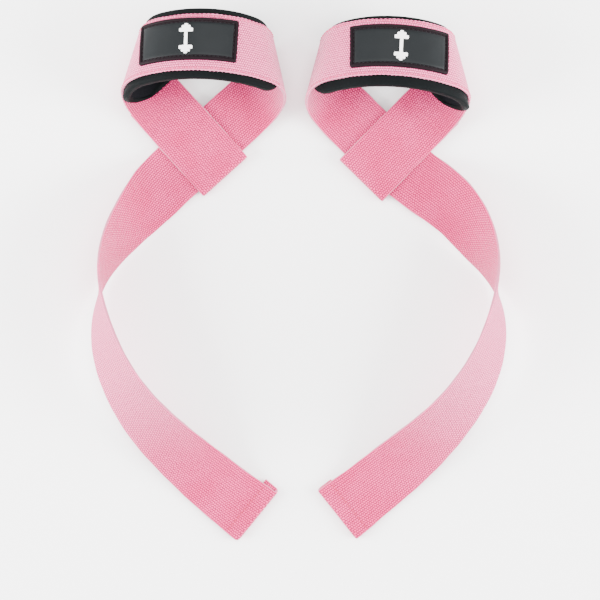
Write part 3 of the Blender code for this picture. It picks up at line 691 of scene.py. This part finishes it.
def webbing_material(name, painted_light):
    """Woven cotton: crowns in a chequered order over gaps painted darker as shade, with fuzz, painted shade
    on its edges, and painted light making it paler in one stretch.
    """
    shader = Shader(name, roughness=0.95, sheen=0.6, sheen_tint=(1.0, 0.80, 0.87), specular=0.08)
    s, w = shader.strip()
    wobble = shader.math("MULTIPLY", shader.math("SUBTRACT", shader.noise(420.0, 2.0), 0.5), PICK_WOBBLE)
    row = shader.math("DIVIDE", shader.math("ADD", w, wobble), PICK)
    pick = shader.math("DIVIDE", shader.math("ADD", s, wobble), PICK)
    pick = shader.math("ADD", pick, shader.math("MULTIPLY", shader.math("FLOOR", row), 0.5))
    crowns = shader.math("MULTIPLY", shader.math("SINE", shader.math("MULTIPLY", pick, math.pi)),
                         shader.math("SINE", shader.math("MULTIPLY", row, math.pi)))
    crowns = shader.math("ABSOLUTE", crowns)
    fuzz = shader.noise(2400.0, 4.0)
    patches = shader.noise(48.0, 3.0)
    edge = shader.range(shader.math("ABSOLUTE", w), *SELVEDGE)
    height = shader.math("MAXIMUM", crowns, shader.math("MULTIPLY", edge, 0.45))
    height = shader.math("ADD", height, shader.math("MULTIPLY", fuzz, 0.4))
    light = shader.mix(shader.range(patches, 0.3, 0.7), WEAVE_PINK, WEAVE_LIGHT)
    # Painted light: the crowns are painted paler over one stretch, where the webbing is lit more
    painted_light_share = shader.math("MULTIPLY", shader.range(s, *painted_light[:2]), shader.range(s, *painted_light[2:], 1.0, 0.0))
    light = shader.mix(painted_light_share, light, WEAVE_PAINTED_LIGHT)
    # The weave's pattern, with painted shade darkening its gaps between the crowns
    colour = shader.mix(shader.range(height, 0.05, 0.95), WEAVE_GAP_SHADE, light)
    # Painted shade along the webbing's edges
    colour = shader.mix(shader.range(shader.math("ABSOLUTE", w), *SELVEDGE_SHADE), colour, WEAVE_EDGE_SHADE)
    shader.bump(height, 0.5, 1.0)
    return shader.colour(colour)


def thread_material(name, colours):
    """Twisted thread, with a little fuzz."""
    shader = Shader(name, roughness=0.75, sheen=0.1, specular=0.1)
    fuzz = shader.noise(3500.0, 3.0)
    shader.bump(fuzz, 0.08, 0.6)
    return shader.colour(shader.mix(fuzz, *colours))


def neoprene_material():
    """Foam with a fine knitted skin, almost black."""
    shader = Shader("neoprene", roughness=0.7, sheen=0.03, specular=0.05)
    s, w = shader.strip()
    knit = shader.math("MULTIPLY",
                       shader.math("SINE", shader.math("MULTIPLY", s, 2 * math.pi / KNIT)),
                       shader.math("SINE", shader.math("MULTIPLY", w, 2 * math.pi / KNIT)))
    patches = shader.noise(90.0, 3.0)
    shader.bump(shader.math("ADD", knit, shader.noise(700.0, 3.0)), 0.05, 0.7)
    return shader.colour(shader.mix(patches, *NEOPRENE))


def lining_material():
    """Soft brushed fabric, let into the pad's inner face."""
    shader = Shader("lining", roughness=0.95, sheen=0.05, specular=0.05)
    fuzz = shader.noise(1500.0, 4.0)
    shader.bump(fuzz, 0.2, 0.8)
    return shader.colour(shader.mix(fuzz, *LINING))


def rubber_material(name, colours, specular):
    """Satin moulded rubber with the faint grain of its mould."""
    shader = Shader(name, roughness=0.5, specular=specular)
    grain = shader.noise(1800.0, 3.0)
    patches = shader.noise(120.0, 2.0)
    shader.bump(grain, 0.03, 0.6)
    return shader.colour(shader.mix(patches, *colours))


def emblem_material():
    """White printed rubber with a faint grain."""
    shader = Shader("emblem_white", roughness=0.42)
    grain = shader.noise(900.0, 3.0)
    shader.bump(grain, 0.03, 0.5)
    return shader.colour(shader.mix(grain, *EMBLEM_WHITE))


# ---------------------------------------- pieces

def loop_piece(strap, material):
    """The loop's webbing: the eye's back layer, its fold, the cuff and the tail's leg."""
    fold = CROSSING + EYE_REACH
    turn = math.pi * LAYER
    end = fold + turn + EYE_REACH + EYE_TAIL
    pad_start, pad_end = strap.pad
    back = even(-end, -fold - turn, 3.0)
    bend = even(-fold - turn, -fold, 0.6)
    leg = even(-fold, pad_start, 2.0)
    cuff = even(pad_start, pad_end, SEAM_PITCH / 4)
    far = even(pad_end, CROSSING - LEG_END - GAP, 2.0)
    lines = np.concatenate([back, bend[1:], leg[1:], cuff[1:], far[1:]])
    piece = webbing_strip(f"{strap.side}_webbing", strap, strap.loop, lines, material, strap.pad)
    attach(piece, f"{strap.side}_cuff")
    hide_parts(f"{strap.side}_webbing_loop")


def tail_piece(strap, material):
    """The tail, from inside the eye to the hem, as one length of webbing."""
    tail = strap.tail
    turn = math.pi * LAYER / 2
    row = tail.length - HEM_SEAM
    straight = even(-LEG_END, row - 3.0, 2.0)
    sewn = even(row - 3.0, tail.length, 0.6)
    fold = even(tail.length, tail.length + turn, 0.4)
    hem = even(tail.length + turn, tail.length + turn + HEM, 2.0)
    lines = np.concatenate([straight, sewn[1:], fold[1:], hem[1:]])
    piece = webbing_strip(f"{strap.side}_tail_webbing", strap, tail.surface, lines, material, crease=row)
    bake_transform(piece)
    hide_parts(f"{strap.side}_webbing_tail_upper", f"{strap.side}_webbing_tail_end")


def corner_inset(distance, radius):
    """How far a round corner draws an edge in, at a distance from the end that it turns to."""
    return radius - np.sqrt(np.maximum(radius**2 - np.maximum(radius - distance, 0) ** 2, 0))


def pad_edges(strap, s):
    """w of the pad's lower and upper edges at s."""
    start, end = strap.pad
    top = corner_inset(np.minimum(s - start, end - s), PAD_CORNER)
    bottom = np.maximum(corner_inset(s - start, PAD_EYE_CORNER), corner_inset(end - s, PAD_FAR_CORNER))
    return strap.pad_w[0] + bottom, strap.pad_w[1] - top


def pad_section(bottom, top):
    """Closed outline across the pad, (w, n): foam with round corners, and the lining let in."""
    angles = np.radians([90, 67, 45, 22, 0])
    corner = [(PAD_ROLL * (1 - math.sin(a)), PAD_ROLL * (1 - math.cos(a))) for a in angles]
    across = np.linspace(bottom + PAD_BORDER, top - PAD_BORDER, LINING_POINTS)
    swell = LINING_SWELL * np.sin(np.linspace(0, math.pi, LINING_POINTS))
    welt = [(share * PAD_BORDER, PAD_INNER + rise) for share, rise in PAD_WELT]
    path = [(bottom + d, PAD_INNER + h) for d, h in corner[::-1]]
    path += [(bottom + d, PAD_OUTER - h) for d, h in corner]
    path += [(w, PAD_OUTER) for w in across]
    path += [(top - d, PAD_OUTER - h) for d, h in corner[::-1]]
    path += [(top - d, PAD_INNER + h) for d, h in corner]
    path += [(top - d, n) for d, n in welt]
    path += [(w, PAD_INNER + LINING_RECESS - rise) for w, rise in zip(across[::-1], swell)]
    path += [(bottom + d, n) for d, n in welt[::-1]]
    return np.array(path)


def pad_lines(start, end):
    """Lines across the pad, close together at its ends and round its corners."""
    eye_side = start + np.concatenate([PAD_END_LINES, np.arange(3 * PAD_STEP, PAD_EYE_CORNER + 1, PAD_STEP)])
    far_side = end - np.concatenate([PAD_END_LINES, np.arange(3 * PAD_STEP, PAD_FAR_CORNER + 1, PAD_STEP)])
    middle = even(eye_side[-1] + PAD_STEP, far_side[-1] - PAD_STEP, PAD_STEP)
    return np.concatenate([eye_side, middle, far_side[::-1]])


def pad_ring(strap, s):
    """The pad's section at s: thinner at its very ends, and without the lining's recess near them."""
    bottom, top = pad_edges(strap, s)
    section = pad_section(bottom, top)
    near = min(s - strap.pad[0], strap.pad[1] - s)
    thick = math.sqrt(max(0.02, 1 - max(0.0, 1 - near / PAD_END_ROUND) ** 2))
    recess = section[:, 1] - PAD_INNER
    margin = np.minimum(section[:, 0] - bottom, top - section[:, 0])
    inside = (margin > PAD_BORDER - 0.01) & (recess > 0.1) & (recess < LINING_RECESS + 0.01)
    section[inside, 1] = PAD_INNER + recess[inside] * smooth(near, *LINING_DROP)
    section[:, 1] = PAD_MIDDLE + (section[:, 1] - PAD_MIDDLE) * thick
    return section


def colour_lining(piece, strap, s, rings, lining):
    """Gives the lining's material to the faces inside the pad's border, on the wrist's side."""
    piece.data.materials.append(lining)
    flat = rings.reshape(-1, 2)
    along = s.reshape(-1)
    start, end = strap.pad
    for polygon in piece.data.polygons:
        w, n = flat[list(polygon.vertices)].mean(axis=0)
        place = along[list(polygon.vertices)].mean()
        bottom, top = pad_edges(strap, np.array(place))
        inner = bottom + PAD_BORDER - 0.4 < w < top - PAD_BORDER + 0.4 and n < PAD_MIDDLE
        if inner and start + PAD_BORDER < place < end - PAD_BORDER:
            polygon.material_index = 1


def pad_piece(strap, neoprene, lining):
    """The wrist pad: one soft sheet with a welt round the lining on its inner face."""
    s_lines = pad_lines(*strap.pad)
    rings = np.array([pad_ring(strap, s) for s in s_lines])
    s = np.repeat(s_lines[:, None], rings.shape[1], axis=1)
    points = strap.on(strap.loop, s, rings[..., 0], rings[..., 1])
    uvs = np.stack([s, rings[..., 0]], axis=-1).reshape(-1, 2)
    faces = ring_faces(*s.shape, strap.mirror < 0)
    piece = make_piece(f"{strap.side}_pad", points.reshape(-1, 3), faces, neoprene, uvs, sharp=50)
    colour_lining(piece, strap, s, rings, lining)
    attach(piece, f"{strap.side}_cuff")
    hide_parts(f"{strap.side}_pad_foam", f"{strap.side}_pad_lining")


def pad_seams(strap, thread):
    """The rows of stitches along the webbing's edges, sunk a little into it."""
    start, end = strap.pad[0] + SEAM_MARGIN, strap.pad[1] - SEAM_MARGIN
    first = math.ceil(start / SEAM_PITCH) * SEAM_PITCH
    last = math.floor(end / SEAM_PITCH) * SEAM_PITCH
    for edge, w in (("upper", SEAM_W), ("lower", -SEAM_W)):
        paths = lock_stitches(strap, strap.loop, [(first, w), (last, w)], SKIN - SEAM_SINK, SEAM_PITCH)
        piece = thread_piece(f"{strap.side}_{edge}_seam_stitches", paths, thread)
        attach(piece, f"{strap.side}_cuff")
        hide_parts(f"{strap.side}_pad_{edge}_seam")


def badge_grid(strap):
    """Lines along and across the badge, close together at its frame, and each point's depth inside."""
    left, right = strap.badge
    low, high = strap.badge_w
    steps = np.array([d for d, _ in BADGE_PROFILE])
    lines = []
    for start, end in (strap.badge, strap.badge_w):
        middle = even(start + BADGE_EVEN, end - BADGE_EVEN, 2.0)
        lines.append(np.concatenate([start + steps, middle, end - steps[::-1]]))
    s, w = np.meshgrid(*lines, indexing="ij")
    depth = np.minimum.reduce([s - left, right - s, w - low, high - w])
    return s, w, depth


def rounded_corners(s, w, strap, radius):
    """Draws the square rings of the badge's grid in to round corners."""
    middle_s, middle_w = sum(strap.badge) / 2, sum(strap.badge_w) / 2
    half_s = (strap.badge[1] - strap.badge[0]) / 2
    half_w = (strap.badge_w[1] - strap.badge_w[0]) / 2
    out_s = np.maximum(np.abs(s - middle_s) - half_s + radius, 0)
    out_w = np.maximum(np.abs(w - middle_w) - half_w + radius, 0)
    share = np.maximum(out_s, out_w) / np.maximum(np.hypot(out_s, out_w), 1e-9) - 1
    return (s + np.sign(s - middle_s) * out_s * share * (out_w > 0),
            w + np.sign(w - middle_w) * out_w * share * (out_s > 0))


def plate_faces(depth):
    """Faces of a plate between two grids of points, the lower one first, and each face's material."""
    rows, cols = depth.shape
    top = rows * cols
    faces, kinds = [], []
    for i in range(rows - 1):
        for j in range(cols - 1):
            a, b, c, d = i * cols + j, (i + 1) * cols + j, (i + 1) * cols + j + 1, i * cols + j + 1
            faces.append([top + a, top + b, top + c, top + d])
            kinds.append(0 if depth[i:i + 2, j:j + 2].mean() > BADGE_FRAME else 1)
            faces.append([a, d, c, b])
            kinds.append(1)
    border = [i * cols for i in range(rows)]
    border += [(rows - 1) * cols + j for j in range(1, cols)]
    border += [i * cols + cols - 1 for i in range(rows - 2, -1, -1)]
    border += list(range(cols - 2, 0, -1))
    for a, b in zip(border, border[1:] + border[:1]):
        faces.append([a, b, top + b, top + a])
        kinds.append(1)
    return faces, kinds


def badge_plate(strap, field, frame_rubber):
    """The moulded plate: a raised frame, a groove for the stitches, and a flat field."""
    s, w, depth = badge_grid(strap)
    high = np.interp(depth, [d for d, _ in BADGE_PROFILE], [h for _, h in BADGE_PROFILE])
    low = np.full_like(high, BADGE_BACK)
    s, w = rounded_corners(s, w, strap, BADGE_CORNER)
    points = np.concatenate([strap.on(strap.loop, s, w, n).reshape(-1, 3) for n in (low, high)])
    faces, kinds = plate_faces(depth)
    if strap.mirror < 0:
        faces = [face[::-1] for face in faces]
    plate = make_piece(f"{strap.side}_badge_plate", points, faces, field, sharp=50)
    plate.data.materials.append(frame_rubber)
    plate.data.polygons.foreach_set("material_index", kinds)
    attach(plate, f"{strap.side}_cuff")
    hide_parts(f"{strap.side}_badge")


def badge_stitches(strap, thread):
    """Lock stitches sunk in the badge's groove."""
    left, right = strap.badge[0] + BADGE_GROOVE, strap.badge[1] - BADGE_GROOVE
    low, high = strap.badge_w[0] + BADGE_GROOVE, strap.badge_w[1] - BADGE_GROOVE
    corners = [(left, low), (right, low), (right, high), (left, high), (left, low)]
    paths = lock_stitches(strap, strap.loop, corners, BADGE_SEAM_HEIGHT, SEAM_PITCH)
    piece = thread_piece(f"{strap.side}_badge_stitches", paths, thread)
    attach(piece, f"{strap.side}_cuff")
    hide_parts(f"{strap.side}_badge_seam")


def emblem_outline():
    """Distance along the dumbbell, and half its width there: plates with round corners on a bar."""
    turns = np.radians([0, 30, 60, 90])
    corner = [(EMBLEM_ROUND * (1 - math.cos(a)), EMBLEM_ROUND * (1 - math.sin(a))) for a in turns]
    half = []
    for start, end, width in EMBLEM_PLATES:
        half += [(start + along, width - inset) for along, inset in corner]
        half += [(end - EMBLEM_STEP - along, width - inset) for along, inset in corner[::-1]]
    half.append((EMBLEM_PLATES[-1][1], EMBLEM_BAR))
    return half + [(-reach, width) for reach, width in half[::-1]]


def emblem_piece(strap, material):
    """A plain raised dumbbell with chamfered edges, upright in the middle of the badge."""
    middle = (sum(strap.badge) / 2, sum(strap.badge_w) / 2)
    outline = emblem_outline()
    across = [[-half, -half, EMBLEM_CHAMFER - half, half - EMBLEM_CHAMFER, half, half] for _, half in outline]
    along = np.repeat(np.array([reach for reach, _ in outline])[:, None], len(across[0]), axis=1)
    height = np.broadcast_to(EMBLEM_HEIGHTS + EMBLEM_HEIGHTS[::-1], along.shape)
    points = strap.on(strap.loop, middle[0] + np.array(across), middle[1] - along, height)
    faces = ring_faces(*along.shape, strap.mirror > 0)
    piece = make_piece(f"{strap.side}_badge_mark", points.reshape(-1, 3), faces, material, sharp=30)
    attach(piece, f"{strap.side}_cuff")
    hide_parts(f"{strap.side}_badge_emblem")


def eye_stitches(strap, thread):
    """The box of stitches that closes the eye, between its step and the cut end."""
    start = -CROSSING + EYE_STEP[1] + BOX_MARGINS[0]
    end = -CROSSING + EYE_TAIL - BOX_MARGINS[1]
    side = HALF_WIDTH - BOX_MARGINS[2]
    corners = [(start, -side), (end, -side), (end, side), (start, side), (start, -side)]
    paths = lock_stitches(strap, strap.loop, corners, -SKIN, BOX_PITCH)
    piece = thread_piece(f"{strap.side}_eye_stitches", paths, thread)
    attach(piece, f"{strap.side}_cuff")
    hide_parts(f"{strap.side}_eye_stitching")


def hem_stitches(strap, thread):
    """The row of stitches across the hem."""
    row = strap.tail.length - HEM_SEAM
    corners = [(row, HEM_MARGIN - HALF_WIDTH), (row, HALF_WIDTH - HEM_MARGIN)]
    paths = lock_stitches(strap, strap.tail.surface, corners, SKIN - HEM_SINK, BOX_PITCH)
    piece = thread_piece(f"{strap.side}_hem_stitches", paths, thread)
    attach(piece, f"{strap.side}_tail_end")
    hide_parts(f"{strap.side}_hem_stitching")


# ---------------------------------------- the room

def make_light(name, place, size, power):
    """A square soft light, facing the middle of the floor."""
    lamp = bpy.data.lights.new(name, "AREA")
    lamp.size = size
    lamp.energy = power
    light = bpy.data.objects.new(name, lamp)
    light.location = place
    light.rotation_euler = light.location.to_track_quat("Z", "Y").to_euler()
    bpy.context.scene.collection.objects.link(light)


def make_room():
    """A plain pale floor, soft light from above and from both sides, and a camera looking down."""
    corners = [(FLOOR_HALF * x, FLOOR_HALF * y, -FLOOR_DROP) for x, y in ((-1, -1), (1, -1), (1, 1), (-1, 1))]
    shader = Shader("floor", roughness=0.9)
    floor = make_piece("floor", corners, [(0, 1, 2, 3)], shader.colour(FLOOR))

    world = bpy.data.worlds.new("studio")
    world.use_nodes = True
    background = world.node_tree.nodes["Background"]
    background.inputs["Color"].default_value = (1.0, 1.0, 1.0, 1.0)
    background.inputs["Strength"].default_value = WORLD_LIGHT
    bpy.context.scene.world = world

    x, y, z = SIDE_PLACE
    make_light("top", TOP_PLACE, TOP_SIZE, TOP_LIGHT)
    make_light("left_side", (-x, y, z), SIDE_SIZE, SIDE_LIGHT)
    make_light("right_side", (x, y, z), SIDE_SIZE, SIDE_LIGHT)

    lens = bpy.data.cameras.new("camera")
    lens.sensor_width = SENSOR_WIDTH
    lens.lens = SENSOR_WIDTH * CAMERA_HEIGHT / VIEW_WIDTH
    lens.clip_end = 50.0
    camera = bpy.data.objects.new("camera", lens)
    camera.location = (*CAMERA_MIDDLE, CAMERA_HEIGHT)
    bpy.context.scene.collection.objects.link(camera)
    bpy.context.scene.camera = camera


def main():
    """Makes every material once, then every piece of each strap, and the room."""
    loop_webbing = webbing_material("loop_webbing", LOOP_PAINTED_LIGHT)
    tail_webbing = webbing_material("tail_webbing", TAIL_PAINTED_LIGHT)
    neoprene = neoprene_material()
    lining = lining_material()
    field = rubber_material("badge_field", FIELD_RUBBER, 0.13)
    rim = rubber_material("badge_rim", RIM_RUBBER, 0.05)
    white = emblem_material()
    pink = thread_material("pink_thread", PINK_THREAD)
    crimson = thread_material("hem_thread", CRIMSON_THREAD)
    black = thread_material("black_thread", BLACK_THREAD)
    for side, lie in STRAPS.items():
        strap = Strap(side, lie)
        loop_piece(strap, loop_webbing)
        tail_piece(strap, tail_webbing)
        pad_piece(strap, neoprene, lining)
        pad_seams(strap, pink)
        badge_plate(strap, field, rim)
        badge_stitches(strap, black)
        emblem_piece(strap, white)
        eye_stitches(strap, pink)
        hem_stitches(strap, crimson)
    make_room()


main()
